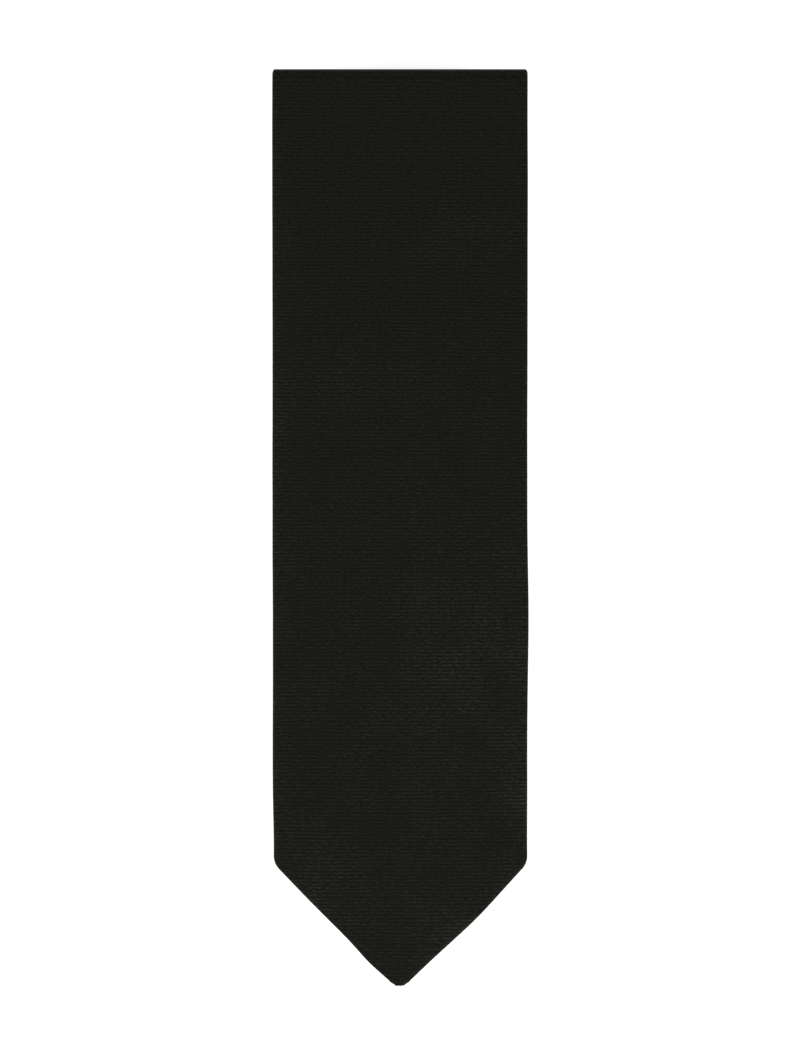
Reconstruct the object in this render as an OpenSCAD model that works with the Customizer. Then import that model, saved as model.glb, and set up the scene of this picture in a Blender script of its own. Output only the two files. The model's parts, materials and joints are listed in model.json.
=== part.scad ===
// Necktie, folded for storage in six laps with the front blade uppermost and face up.
// X runs across the tie, Y along it with the front blade's point at -Y, Z up from the table.
// The origin is at the bottom centre of the folded tie.
// "Along" is the distance along the tie from the front blade's point.

/* [Front blade] */
// Width of the front blade at its shoulders
blade_w = 80; // [60:1:100]
// Length of the folded tie, from the front blade's point to the first fold
folded_len = 287.5; // [270:0.5:310]
// Where the blade begins to narrow, along the tie
taper_start = 290; // [285:1:320]
// Radius of the shoulders' corners
shoulder_r = 6; // [2:0.5:12]
// Radius of the front blade's point
point_r = 3.8; // [0.5:0.1:4]

/* [Neck and tail] */
// Length of the whole tie along its middle
tie_len = 1480; // [1440:5:1500]
// Width of the neck
neck_w = 36; // [28:1:42]
// Where the neck reaches its full narrowness, along the tie
neck_start = 800; // [790:5:900]
// Where the tail begins to widen, along the tie
neck_end = 1080; // [1050:5:1150]
// Width of the tail at its shoulders
tail_w = 46; // [40:1:52]
// Where the bias seam joins the front blade to the neck, along the tie
front_seam_at = 655; // [620:5:700]
// Where the bias seam joins the neck to the tail, along the tie
tail_seam_at = 1140; // [1120:5:1200]

/* [Cloth] */
// Thickness of one lap of the tie, through shell and interlining
tie_t = 2.6; // [2.6:0.1:3.2]
// Thickness of the shell cloth
shell_t = 0.45; // [0.3:0.05:0.45]
// Thickness of the wool interlining
wool_t = 1.2; // [0.8:0.1:1.2]
// Thickness of the lining at the points
lining_t = 0.25; // [0.15:0.05:0.25]
// Gap between the first two laps, which holds the keeper loop and the labels
first_gap = 2.6; // [2.4:0.1:4]
// Gap between the other laps
rest_gap = 0.8; // [0.6:0.1:1.2]

/* [Back] */
// Width of the hem along the points, on the back
hem_w = 12; // [8:1:16]
// Where the back flaps of the front blade meet, along the tie
flaps_meet = 78; // [70:1:90]
// Distance from the tail's point to where its back flaps meet
tail_flaps_meet = 48; // [44:1:60]
// Hem along the tail's point, on the back
tail_hem_w = 8; // [6:1:10]
// Width of the slit between the back flaps
slit_w = 0.6; // [0.5:0.1:1]
// Middle of the keeper loop, along the tie
keeper_at = 205; // [190:1:230]
// Width of the passage through the keeper loop
keeper_passage_w = 54; // [48:1:60]
// Width of the keeper loop's band
keeper_band_w = 12; // [8:1:16]

/* [Hidden] */
$fn = 96;

last = 5;             // index of the lowest lap; the front blade is lap 0
fold_leg = 0.25;      // straight part of a fold, which keeps the laps apart when it opens
fold_air = 0.05;      // clearance between a fold and the laps it joins
fold_setback = 1.2;   // how far the lower +Y folds stay behind the first one
air = 0.1;            // clearance between layers of cloth
over = 1;             // how far a cut runs past what it cuts
wool_inset = 1.2;     // from the tie's edge to the interlining's edge
seam_gap = 0.4;       // between two pieces of shell at a bias seam
thread_t = 0.3;       // thickness of sewing thread
arc_steps = 8;        // straight pieces in a rounded corner
point_per_inset = sqrt(2);          // how far a 45 degree point moves in for each mm of inset
shoulder_per_inset = sqrt(2) - 1;   // and how far its shoulders move

// ---- where the laps and folds are ----
function gap_below(i) = i == 0 ? first_gap : rest_gap;
function lap_z(i) = i == last ? 0 : lap_z(i + 1) + tie_t + gap_below(i);
function faces_up(i) = i % 2 == 0;

// Fold f joins lap f to lap f + 1; even folds are at the +Y end.
point_cut = point_r * (sqrt(2) - 1);    // what the rounding takes off the blade's point
first_fold_at = folded_len + point_cut - tie_t - first_gap / 2;
function fold_at(f) = f == 0 ? first_fold_at : f % 2 == 1 ? blade_w / 2 : first_fold_at - fold_setback;
function fold_z(f) = lap_z(f) - gap_below(f) / 2;
function fold_arc(f) = PI * (tie_t + gap_below(f)) / 2;

function lap_len(i) = i == 0 ? fold_at(0) : abs(fold_at(i) - fold_at(i - 1));
function lap_from(i) = i == 0 ? 0 : lap_from(i - 1) + lap_len(i - 1) + fold_arc(i - 1);
function lap_to(i) = i == last ? tie_len : lap_from(i) + lap_len(i);
function to_y(u) = u - point_cut - folded_len / 2;

// Puts a flat drawing of (across, along) on lap i, with its back at z = 0.
module on_lap(i) {
    start = i == 0 ? 0 : fold_at(i - 1);
    translate([0, to_y(start), faces_up(i) ? lap_z(i) : lap_z(i) + tie_t])
        rotate([faces_up(i) ? 0 : 180, 0, 0])
            translate([0, -lap_from(i), 0])
                children();
}

// ---- outline of the tie ----
width_by_length = [
    [0, blade_w], [taper_start, blade_w], [neck_start, neck_w],
    [neck_end, neck_w], [tie_len - tail_w / 2, tail_w], [tie_len, tail_w]
];
function half_at(s) = lookup(s, width_by_length) / 2;
knots = [taper_start, neck_start, neck_end];

// One corner of an outline: [across, along, radius of its rounding].
function body_corners(from, to, inset, side) = [
    for (s = concat([from], [for (k = knots) if (k > from && k < to) k], [to]))
        [side * (half_at(s) - inset), s, 0]
];
function front_shoulder(inset, side) =
    [side * (blade_w / 2 - inset), blade_w / 2 + shoulder_per_inset * inset, max(shoulder_r - inset, 1)];
function tail_shoulder(inset, side) =
    [side * (tail_w / 2 - inset), tie_len - tail_w / 2 - shoulder_per_inset * inset, 2];
function backwards(list) = [for (k = [len(list) - 1:-1:0]) list[k]];

function side_corners(from, to, inset, side) = concat(
    from == 0 ? [front_shoulder(inset, side)] : [],
    body_corners(from == 0 ? 2 * shoulder_r + blade_w / 2 : from,
                 to == tie_len ? tie_len - tail_w : to, inset, side),
    to == tie_len ? [tail_shoulder(inset, side)] : []
);
function lap_corners(from, to, inset) = concat(
    from == 0 ? [[0, point_per_inset * inset, point_r]] : [],
    side_corners(from, to, inset, 1),
    to == tie_len ? [[0, tie_len - point_per_inset * inset, point_r]] : [],
    backwards(side_corners(from, to, inset, -1))
);

function unit(v) = v / norm(v);
function xy(c) = [c[0], c[1]];
// The points of an arc of radius r that rounds the corner at p, between its neighbours a and b.
function arc_at(a, p, b, r) =
    let (to_a = unit(a - p), to_b = unit(b - p), half = acos(to_a * to_b) / 2)
    let (middle = p + unit(to_a + to_b) * r / sin(half))
    let (first = p + to_a * r / tan(half) - middle, final = p + to_b * r / tan(half) - middle)
    [for (k = [0:arc_steps]) middle + r * unit(first * (arc_steps - k) + final * k)];
function rounded(corners) = [
    for (k = [0:len(corners) - 1])
        let (n = len(corners), p = xy(corners[k]), r = corners[k][2])
            each r == 0 ? [p] : arc_at(xy(corners[(k + n - 1) % n]), p, xy(corners[(k + 1) % n]), r)
];
module lap_outline(from, to, inset) {
    polygon(rounded(lap_corners(from, to, inset)));
}

// The straight stretch of lap i, which stops short of its folds.
function sewn_from(i) = i == 0 ? 0 : lap_from(i) + fold_leg + fold_air;
function sewn_to(i) = i == last ? tie_len : lap_to(i) - fold_leg - fold_air;

// ---- the shell ----
// The opening between the hem and the back flaps, through which the lining shows.
module front_window() {
    polygon([
        [0, point_per_inset * hem_w],
        [blade_w / 2 - hem_w, blade_w / 2 + shoulder_per_inset * hem_w],
        [0, flaps_meet],
        [hem_w - blade_w / 2, blade_w / 2 + shoulder_per_inset * hem_w]
    ]);
}
module tail_window() {
    polygon([
        [0, tie_len - point_per_inset * tail_hem_w],
        [tail_w / 2 - tail_hem_w, tie_len - tail_w / 2 - shoulder_per_inset * tail_hem_w],
        [0, tie_len - tail_flaps_meet],
        [tail_hem_w - tail_w / 2, tie_len - tail_w / 2 - shoulder_per_inset * tail_hem_w]
    ]);
}
function slit_from(i) = i == 0 ? flaps_meet - over : sewn_from(i) - over;
function slit_to(i) = i == last ? tie_len - tail_flaps_meet + over : sewn_to(i) + over;

// The cloth wrapped round lap i: a flat sleeve, open at the folds and along the back.
module sleeve(i) {
    difference() {
        linear_extrude(tie_t) lap_outline(sewn_from(i), sewn_to(i), 0);
        translate([0, 0, shell_t])
            linear_extrude(tie_t - 2 * shell_t)
                lap_outline(i == 0 ? 0 : sewn_from(i) - over, i == last ? tie_len : sewn_to(i) + over, shell_t);
        translate([-slit_w / 2, slit_from(i), -over])
            cube([slit_w, slit_to(i) - slit_from(i), shell_t + over + air]);
        translate([0, 0, -over]) linear_extrude(shell_t + over + air) {
            if (i == 0) front_window();
            if (i == last) tail_window();
        }
    }
}

// Everything on one side of the bias seam at s: side is -1 before the seam, 1 after it.
module beside_seam(s, side) {
    reach = blade_w * 4;
    translate([0, s, -over])
        rotate(45)
            translate([-reach / 2, side > 0 ? seam_gap / 2 : -reach - seam_gap / 2, 0])
                cube([reach, reach, tie_t + 2 * over]);
}
module shell_of(i, seam = 0, side = 0) {
    color("#1b1c16") on_lap(i)
        if (side == 0) {
            sleeve(i);
        } else {
            intersection() {
                sleeve(i);
                beside_seam(seam, side);
            }
        }
}

// ---- the folds ----
function fold_half(f) = half_at(lap_to(f) + fold_arc(f) / 2);
// A half ring round fold f, from radius r_in to r_out, drawn in the YZ plane.
module half_ring(r_in, r_out, leg) {
    difference() {
        union() {
            intersection() {
                circle(r_out);
                translate([0, -r_out]) square([r_out, 2 * r_out]);
            }
            translate([-leg, -r_out]) square([leg, 2 * r_out]);
        }
        circle(r_in);
        translate([-leg - over, -r_in]) square([leg + over, 2 * r_in]);
    }
}
// Puts a ring drawn in (outwards, up) at fold f, as long as 2 * half across the tie.
module at_fold(f, half) {
    translate([0, to_y(fold_at(f)), fold_z(f)])
        mirror([0, back_inside(f) ? 0 : 1, 0])
            rotate([90, 0, 90])
                translate([0, 0, -half])
                    linear_extrude(2 * half) children();
}
// The back of the tie is on the inside of the folds at the +Y end.
function back_inside(f) = f % 2 == 0;
module shell_fold(f) {
    half = fold_half(f);
    inside = gap_below(f) / 2;
    outside = inside + tie_t;
    slit_in = back_inside(f) ? inside - air : outside - shell_t - air;
    color("#1b1c16") difference() {
        at_fold(f, half) half_ring(inside, outside, fold_leg);
        at_fold(f, half - shell_t) half_ring(inside + shell_t, outside - shell_t, fold_leg + over);
        at_fold(f, slit_w / 2) half_ring(slit_in, slit_in + shell_t + 2 * air, fold_leg + over);
    }
}
module wool_fold(f) {
    inside = gap_below(f) / 2;
    clear = shell_t + air;
    inner = back_inside(f) ? inside + tie_t - clear - wool_t : inside + clear;
    color("#c9bfa9") at_fold(f, fold_half(f) - wool_inset) half_ring(inner, inner + wool_t, fold_leg);
}

// ---- inside the shell ----
wool_z = tie_t - shell_t - air - wool_t;
module interlining(i) {
    color("#c9bfa9") on_lap(i)
        translate([0, 0, wool_z])
            linear_extrude(wool_t)
                lap_outline(sewn_from(i), sewn_to(i), wool_inset);
}
// The lining under a window, with a margin that runs in under the flaps.
module lining(i, window_margin) {
    color("#15161a") on_lap(i)
        translate([0, 0, shell_t + air / 2])
            linear_extrude(lining_t)
                intersection() {
                    lap_outline(sewn_from(i), sewn_to(i), wool_inset);
                    translate([-blade_w / 2, i == 0 ? 0 : tie_len - tail_flaps_meet - window_margin])
                        square([blade_w, (i == 0 ? flaps_meet : tail_flaps_meet) + window_margin]);
                }
}

// ---- stitches ----
thread_w = slit_w - 2 * air;
// The slack thread that runs in the slit between the back flaps.
module slip_stitch(i) {
    from = i == 0 ? flaps_meet + over : sewn_from(i);
    to = i == last ? tie_len - tail_flaps_meet - over : sewn_to(i);
    color("#202020") on_lap(i)
        translate([-thread_w / 2, from, shell_t - thread_t])
            cube([thread_w, to - from, thread_t]);
}
// A bar tack lies across the slit, on the back, just above the window.
module bar_tack(i, s) {
    tack = [9, 1.6, 0.35];
    color("#2a2a2a") on_lap(i)
        translate([-tack[0] / 2, s - tack[1] / 2, -tack[2]])
            cube(tack);
}
// Thread of a bias seam on lap i at s: one line through the face, two through the back flaps.
module bias_seam(i, s) {
    line = seam_gap - 2 * air;
    half = half_at(s) * point_per_inset - 2;
    color("#202020") on_lap(i)
        translate([0, s, 0]) rotate(45) {
            translate([-half, -line / 2, tie_t - shell_t]) cube([2 * half, line, thread_t]);
            for (side = [-1, 1])
                translate([side > 0 ? slit_w : -half, -line / 2, shell_t - thread_t])
                    cube([half - slit_w, line, thread_t]);
        }
}

// ---- on the back of the front blade ----
loop_t = 0.5;
loop_h = 1.3;
foot_w = 4;
// A flat band that stands off the back on two short legs and is sewn down by its feet.
module keeper_loop() {
    half = keeper_passage_w / 2;
    color("#1b1c16") on_lap(0)
        translate([0, keeper_at + keeper_band_w / 2, 0]) rotate([90, 0, 0])
            linear_extrude(keeper_band_w) {
                translate([-half - loop_t, -loop_h - loop_t]) square([2 * (half + loop_t), loop_t]);
                for (side = [-1, 1]) {
                    translate([side > 0 ? half : -half - loop_t, -loop_h - loop_t])
                        square([loop_t, loop_h + loop_t]);
                    translate([side > 0 ? half : -half - foot_w, -loop_t]) square([foot_w, loop_t]);
                }
            }
}
// A short bar of thread over each foot of the keeper loop.
module keeper_tacks() {
    length = keeper_band_w - 3;
    color("#2a2a2a") on_lap(0)
        for (side = [-1, 1])
            translate([side * (keeper_passage_w + foot_w + loop_t) / 2 - 0.6,
                       keeper_at - length / 2, -loop_t - thread_t])
                cube([1.2, length, thread_t]);
}
// A blank woven label, sewn flat on the back between the keeper loop and the window.
module maker_label() {
    label = [44, 20, 0.35];
    color("#101114") on_lap(0)
        translate([-label[0] / 2, keeper_at - keeper_band_w / 2 - 6 - label[1], -label[2]])
            cube(label);
}
// A blank satin tab, sewn on beside the slit.
module care_label() {
    label = [16, 26, 0.3];
    color("#d8d6d0") on_lap(0)
        translate([8, flaps_meet + 16, -label[2]]) cube(label);
}

shell_of(0);  // front_shell_lap1
shell_of(1);  // front_shell_lap2
shell_of(2, front_seam_at, -1);  // front_shell_lap3
shell_of(2, front_seam_at, 1);  // neck_shell_lap3
shell_of(3);  // neck_shell_lap4
shell_of(4, tail_seam_at, -1);  // neck_shell_lap5
shell_of(4, tail_seam_at, 1);  // tail_shell_lap5
shell_of(last);  // tail_shell_lap6
for (f = [0:last - 1]) {
    shell_fold(f);
    wool_fold(f);
}
for (i = [0:last]) {
    interlining(i);
    slip_stitch(i);
}
lining(0, 8);  // front_tipping
lining(last, 6);  // tail_tipping
bar_tack(0, flaps_meet + 4);  // front_bar_tack
bar_tack(last, tie_len - tail_flaps_meet - 4);  // tail_bar_tack
bias_seam(2, front_seam_at);  // front_neck_seam
bias_seam(4, tail_seam_at);  // neck_tail_seam
keeper_loop();
keeper_tacks();
maker_label();
care_label();
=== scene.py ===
import json
import math
from collections import namedtuple

import bpy
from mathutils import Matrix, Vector, noise


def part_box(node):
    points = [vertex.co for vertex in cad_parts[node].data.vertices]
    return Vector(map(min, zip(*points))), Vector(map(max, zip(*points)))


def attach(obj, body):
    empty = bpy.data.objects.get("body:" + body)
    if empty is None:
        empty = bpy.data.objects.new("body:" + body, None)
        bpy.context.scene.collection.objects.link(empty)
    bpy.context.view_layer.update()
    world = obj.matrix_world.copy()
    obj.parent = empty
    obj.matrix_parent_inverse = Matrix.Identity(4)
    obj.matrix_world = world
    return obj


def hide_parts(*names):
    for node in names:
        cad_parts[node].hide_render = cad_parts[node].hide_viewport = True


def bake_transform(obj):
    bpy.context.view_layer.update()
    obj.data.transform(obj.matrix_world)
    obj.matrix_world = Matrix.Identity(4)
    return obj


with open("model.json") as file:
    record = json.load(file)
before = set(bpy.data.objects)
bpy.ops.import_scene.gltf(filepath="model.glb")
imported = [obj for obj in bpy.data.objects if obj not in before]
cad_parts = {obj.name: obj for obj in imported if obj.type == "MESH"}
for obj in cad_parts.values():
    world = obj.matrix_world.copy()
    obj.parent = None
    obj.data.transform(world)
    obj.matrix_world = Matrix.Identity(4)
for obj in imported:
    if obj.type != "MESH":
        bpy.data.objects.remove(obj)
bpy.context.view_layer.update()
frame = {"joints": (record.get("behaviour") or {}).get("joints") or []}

# Everything is in metres, in the frame of the CAD model: X across the tie, Y along the folded
# tie with the front blade's point at -Y, Z up from the table.
# "Along" is the distance along the tie from the front blade's sharp point, as on a tie laid out
# straight, and "depth" is the height above the middle of the cloth, towards the face.

MM = 0.001


# ---------------------------------------------------------------------------------------------
# The tie's dimensions, from the frame
# ---------------------------------------------------------------------------------------------
JOINTS = {joint["name"]: joint for joint in frame["joints"]}
FOLD_JOINTS = ("front_fold", "fold_b", "fold_c", "fold_d", "unfold")
FOLDS = [Vector(JOINTS[name]["pos_m"]) for name in FOLD_JOINTS]
LAP_SHELLS = [
    ["front_shell_lap1"],
    ["front_shell_lap2"],
    ["front_shell_lap3", "neck_shell_lap3"],
    ["neck_shell_lap4"],
    ["neck_shell_lap5", "tail_shell_lap5"],
    ["tail_shell_lap6"],
]
FOLD_NAMES = "abcde"
LAST = len(LAP_SHELLS) - 1


def boxes(names):
    """The lowest and highest corners of several CAD nodes together."""
    both = [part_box(name) for name in names]
    low = Vector([min(box[0][k] for box in both) for k in range(3)])
    high = Vector([max(box[1][k] for box in both) for k in range(3)])
    return low, high


LAP_BOXES = [boxes(names) for names in LAP_SHELLS]
THICK = LAP_BOXES[0][1].z - LAP_BOXES[0][0].z
LAP_Z = [(low.z + high.z) / 2 for low, high in LAP_BOXES]
BLADE_W = LAP_BOXES[0][1].x - LAP_BOXES[0][0].x
TAIL_W = LAP_BOXES[LAST][1].x - LAP_BOXES[LAST][0].x
NECK_W = 36 * MM
POINT_R = 3.8 * MM                          # rounding of the front blade's point
TIP_SHARE = 0.36                            # the flat at the tip, as a share of the rounding
SHOULDER_R = 6 * MM                         # rounding of its shoulders
TAIL_SHOULDER_R = 3 * MM
POINT_CUT = POINT_R * (math.sqrt(2) - 1)    # what the rounding takes off the point
POINT_Y = LAP_BOXES[0][0].y - POINT_CUT     # the sharp point
TAPER_START = 290 * MM
NECK_START = 800 * MM
NECK_END = 1080 * MM
SHELL_T = 0.45 * MM
WOOL_T = 1.2 * MM
WOOL_INSET = 1.2 * MM
FRONT_SEAM = 655 * MM
TAIL_SEAM = 1140 * MM
FLAPS_MEET = 78 * MM
TAIL_FLAPS_MEET = 48 * MM
HEM_W = 12 * MM
TAIL_HEM_W = 8 * MM

# The lengths of the laps and folds, and where each begins, along the tie.
FOLD_R = [abs(LAP_Z[k] - LAP_Z[k + 1]) / 2 for k in range(LAST)]
FOLD_ARC = [math.pi * radius for radius in FOLD_R]
LAP_FROM = [0.0]
LAP_TO = [FOLDS[0].y - POINT_Y]
for k in range(1, LAST):
    LAP_FROM.append(LAP_TO[-1] + FOLD_ARC[k - 1])
    LAP_TO.append(LAP_FROM[-1] + abs(FOLDS[k].y - FOLDS[k - 1].y))
LAP_FROM.append(LAP_TO[-1] + FOLD_ARC[-1])
TIE_LEN = LAP_FROM[-1] + FOLDS[-1].y - LAP_BOXES[LAST][0].y + POINT_CUT
LAP_TO.append(TIE_LEN)


def smooth(low, high, value):
    """0 below low, 1 above high, and an even curve between them."""
    t = min(max((value - low) / (high - low), 0.0), 1.0)
    return t * t * (3 - 2 * t)


def mix(a, b, t):
    return a + (b - a) * t


# ---------------------------------------------------------------------------------------------
# The tie's outline and section
# ---------------------------------------------------------------------------------------------
def straight_half_width(s):
    """Half the tie's width at s, without its points."""
    knots = [
        (TAPER_START, BLADE_W), (NECK_START, NECK_W), (NECK_END, NECK_W),
        (TIE_LEN - TAIL_W / 2, TAIL_W), (TIE_LEN, TAIL_W),
    ]
    before = (0.0, BLADE_W)
    for knot in knots:
        if s <= knot[0]:
            share = (s - before[0]) / max(knot[0] - before[0], 1e-9)
            return mix(before[1], knot[1], share) / 2
        before = knot
    return TAIL_W / 2


def pointed(distance, half, point_r, shoulder_r):
    """Half the width at a distance from a 45 degree point with a flat tip and round shoulders."""
    cut = point_r * (math.sqrt(2) - 1)
    if distance < 2 * cut:
        return mix(TIP_SHARE * point_r, 2 * cut, smooth(cut, 2 * cut, distance))
    tangent = shoulder_r * math.tan(math.radians(22.5))
    if distance < half - tangent / math.sqrt(2):
        return distance
    if distance < half + tangent:
        return half - shoulder_r + math.sqrt(shoulder_r ** 2 - (distance - half - tangent) ** 2)
    return half


def half_width(s):
    half = straight_half_width(s)
    if s < BLADE_W:
        return pointed(s, half, POINT_R, SHOULDER_R)
    if s > TIE_LEN - TAIL_W:
        return pointed(TIE_LEN - s, half, POINT_R, TAIL_SHOULDER_R)
    return half


def window_half(s):
    """Half the width of the opening between the back flaps, near the points."""
    def kite(distance, half, hem, meet):
        near = hem * math.sqrt(2)
        wide = half + hem * (math.sqrt(2) - 1)
        if distance < near or distance > meet:
            return 0.0
        if distance < wide:
            return (distance - near) / (wide - near) * (half - hem)
        return (meet - distance) / (meet - wide) * (half - hem)
    front = kite(s, BLADE_W / 2, HEM_W, FLAPS_MEET)
    tail = kite(TIE_LEN - s, TAIL_W / 2, TAIL_HEM_W, TAIL_FLAPS_MEET)
    return max(front, tail)


# ---------------------------------------------------------------------------------------------
# Where the folded tie lies
# ---------------------------------------------------------------------------------------------
UP = Vector((0, 0, 1))
ACROSS = Vector((1, 0, 0))
POINT_DROOP = 2.4 * MM      # less than the room over a lap drawn out below it
DROOP_FROM = 46 * MM        # the free point droops from here to its tip
DROOP_LEAN = 0.25           # it droops this much more at its right edge, and less at its left
FADE = 16 * MM              # the cloth's unevenness fades out this near a fold
SAG = 2.2 * MM              # how far the front blade's edges hang, away from its fold
SAG_CURVE = 1.6             # 1 would be a straight slope down from what carries them
SAG_FADE = 60 * MM          # this near the fold they hang less
LAP_WOBBLE = 0.16 * MM      # about how far a pressed lap's cloth rises and dips
PRESSED = (0.7, 1, 1, 1, 1) # for each fold: 1 is a round one, less is one pressed squarer
CROWN = 0.22                # the tie is this share thinner at its edges than in the middle


def power(value, exponent):
    return math.copysign(abs(value) ** exponent, value)


def on_path(s):
    """The middle of the cloth at s, and the way its face looks there."""
    for k in range(LAST + 1):
        if s <= LAP_TO[k] or k == LAST:
            start_y = POINT_Y if k == 0 else FOLDS[k - 1].y
            way = 1 if k % 2 == 0 else -1
            return Vector((0, start_y + way * (s - LAP_FROM[k]), LAP_Z[k])), UP * way
        if s < LAP_TO[k] + FOLD_ARC[k]:
            turn = math.pi * (s - LAP_TO[k]) / FOLD_ARC[k]
            way = 1 if k % 2 == 0 else -1
            sine, cosine, square = math.sin(turn), math.cos(turn), PRESSED[k]
            out = Vector((0, way * power(sine, square), power(cosine, square)))
            face = Vector((0, way * power(sine, 2 - square), power(cosine, 2 - square)))
            return FOLDS[k] + out * FOLD_R[k], face.normalized() * way


def in_fold(s):
    return any(LAP_TO[k] < s < LAP_FROM[k + 1] for k in range(LAST))


def away_from_folds(s, fade):
    """1 in the middle of a lap, 0 at its folds."""
    nearest = min(min(abs(s - LAP_TO[k]), abs(s - LAP_FROM[k + 1])) for k in range(LAST))
    return 0.0 if in_fold(s) else smooth(0, fade, nearest)


def sag(x, s):
    """How far the front blade's edges hang beside the narrow laps that carry it.

    The laps below stay flat, because they come to lie on the table when the tie is drawn out.
    """
    if s > LAP_TO[0]:
        return 0.0
    support = TAIL_W / 2
    beyond = max(abs(x) - support, 0.0) / (BLADE_W / 2 - support)
    return SAG * beyond ** SAG_CURVE * away_from_folds(s, SAG_FADE)


def under_blade(x, y, z):
    """A place on the back of the front blade, which hangs with it."""
    return Vector((x, y, z - sag(x, y - POINT_Y)))


def wander(s):
    """How far the tie lies to one side: the hidden laps are folded by hand, not to a ruler."""
    hidden = smooth(340 * MM, 560 * MM, s)
    return hidden * (1.1 * MM * math.sin(s * 9.1 + 0.6) + 0.7 * MM * math.sin(s * 23.0))


def bell(value, middle, reach):
    return math.exp(-((value - middle) / reach) ** 2)


def edge_wave(s, side):
    """The slight unevenness of the pressed edges."""
    slow = noise.noise(Vector((side * 7.3, s * 14.0, 2.1)))
    quick = noise.noise(Vector((side * 3.1, s * 45.0, 8.4)))
    return (0.16 * slow + 0.08 * quick) * MM * smooth(6 * MM, 30 * MM, s) + fullness(s, side)


def fullness(s, side):
    """Where the front blade's edges lie farther to the right than they would, or to the left."""
    if side < 0:
        return 0.35 * MM * bell(s, 46 * MM, 12 * MM) - 0.75 * MM * bell(s, 9 * MM, 5 * MM)
    return 1.2 * MM * bell(s, 23 * MM, 11 * MM) + 0.35 * MM * bell(s, 118 * MM, 22 * MM)


def lay(x, depth, s):
    """The place of a point of the tie: x across, depth above the middle of the cloth, s along."""
    middle, face = on_path(s)
    share = min(max(x / max(half_width(s), 0.1 * MM), -1), 1)
    uneven = away_from_folds(s, FADE)
    depth *= 1 - CROWN * uneven * share ** 4
    coarse = noise.noise(Vector((x * 30, s * 22, 0.3)))
    fine = noise.noise(Vector((x * 75, s * 60, 5.0)))
    depth += LAP_WOBBLE * uneven * (coarse + 0.5 * fine)
    side = 1 if x > 0 else -1
    across = x + edge_wave(s, side) * abs(share) ** 3 + wander(s)
    droop = POINT_DROOP * (max(DROOP_FROM - s, 0) / DROOP_FROM) ** 2
    droop *= 1 + DROOP_LEAN * share
    return middle + ACROSS * across + face * depth - UP * (droop + sag(x, s))


# ---------------------------------------------------------------------------------------------
# Meshes
# ---------------------------------------------------------------------------------------------
SHARP = math.radians(55)


def new_mesh(name, vertices, faces, cloth=None):
    """A mesh object. cloth gives each face corner its place on the flat cloth, for the weave."""
    mesh = bpy.data.meshes.new(name)
    mesh.from_pydata(vertices, [], faces)
    mesh.validate()
    if cloth:
        attribute = mesh.attributes.new("cloth", "FLOAT_VECTOR", "CORNER")
        attribute.data.foreach_set("vector", [value for corner in cloth for value in corner])
    obj = bpy.data.objects.new(name, mesh)
    bpy.context.scene.collection.objects.link(obj)
    mesh.shade_smooth()
    return obj


def apply_modifiers(obj):
    """Makes the modifiers' result the piece's own mesh."""
    depsgraph = bpy.context.evaluated_depsgraph_get()
    mesh = bpy.data.meshes.new_from_object(obj.evaluated_get(depsgraph), depsgraph=depsgraph)
    obj.modifiers.clear()
    obj.data = mesh
    mesh.shade_smooth()
    mesh.set_sharp_from_angle(angle=SHARP)


def thicken(obj, thickness, outwards=-1):
    solid = obj.modifiers.new("cloth", "SOLIDIFY")
    solid.thickness = thickness
    solid.offset = outwards
    solid.use_even_offset = False
    apply_modifiers(obj)


def grid_faces(rows, columns, closed=False):
    """Quads between rows of points. closed joins each row's last point to its first."""
    span = columns if closed else columns - 1
    return [
        (r * columns + c, r * columns + (c + 1) % columns,
         (r + 1) * columns + (c + 1) % columns, (r + 1) * columns + c)
        for r in range(rows - 1) for c in range(span)
    ]


def tube_mesh(path, radius, sides=8):
    """Vertices and faces of a round thread along a path of points, with closed ends."""
    vertices = []
    for k, point in enumerate(path):
        along = (path[min(k + 1, len(path) - 1)] - path[max(k - 1, 0)]).normalized()
        first = along.cross(Vector((0.31, 0.17, 0.94))).normalized()
        second = along.cross(first)
        end = k in (0, len(path) - 1)
        r = radius * (0.55 if end else 1)
        for side in range(sides):
            turn = 2 * math.pi * side / sides
            vertices.append(point + first * (r * math.cos(turn)) + second * (r * math.sin(turn)))
    faces = grid_faces(len(path), sides, closed=True)
    faces.append(tuple(range(sides - 1, -1, -1)))
    faces.append(tuple(range(len(vertices) - sides, len(vertices))))
    return vertices, faces


def threads(name, paths, radius):
    """One piece made of several threads."""
    vertices, faces = [], []
    for path in paths:
        more, quads = tube_mesh(path, radius)
        first = len(vertices)
        vertices += more
        faces += [tuple(index + first for index in quad) for quad in quads]
    return new_mesh(name, vertices, faces)


# ---------------------------------------------------------------------------------------------
# The shell: one sleeve of cloth round the interlining, its edges meeting along the back
# ---------------------------------------------------------------------------------------------
FACE_COLUMNS = 16           # on each side of the middle
ROLL_COLUMNS = 8            # even, so that one column lies halfway round
SHELL_STEP = 3.5 * MM       # between two rows of the mesh, where nothing turns
BACK_COLUMNS = 9
LIP_COLUMNS = 6
TURNED_COLUMNS = 2
FACE_ROLL = 2.4 * MM        # how far in from the edge the face begins to roll
FOLD_ROLL = 0.8 * MM        # the same, where the tie is folded over and its corners are square
BACK_ROLL = 1.3 * MM        # how far in from the edge the roll ends on the back
ROLL_CLOTH = 1.2            # the cloth round a roll, as a share of the roll's width
BACK_FROM_TURN = 2          # radians round the roll, where the cloth's back side begins
LIP_R = 0.45 * MM           # each flap's edge is turned in round this
LIPS_PRESS = 0.03 * MM      # how far each edge presses past the middle
TURNED_IN = 5 * MM          # how far the turned-in cloth runs back under the flap
Spot = namedtuple("Spot", "x depth unwrapped on_back")


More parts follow.
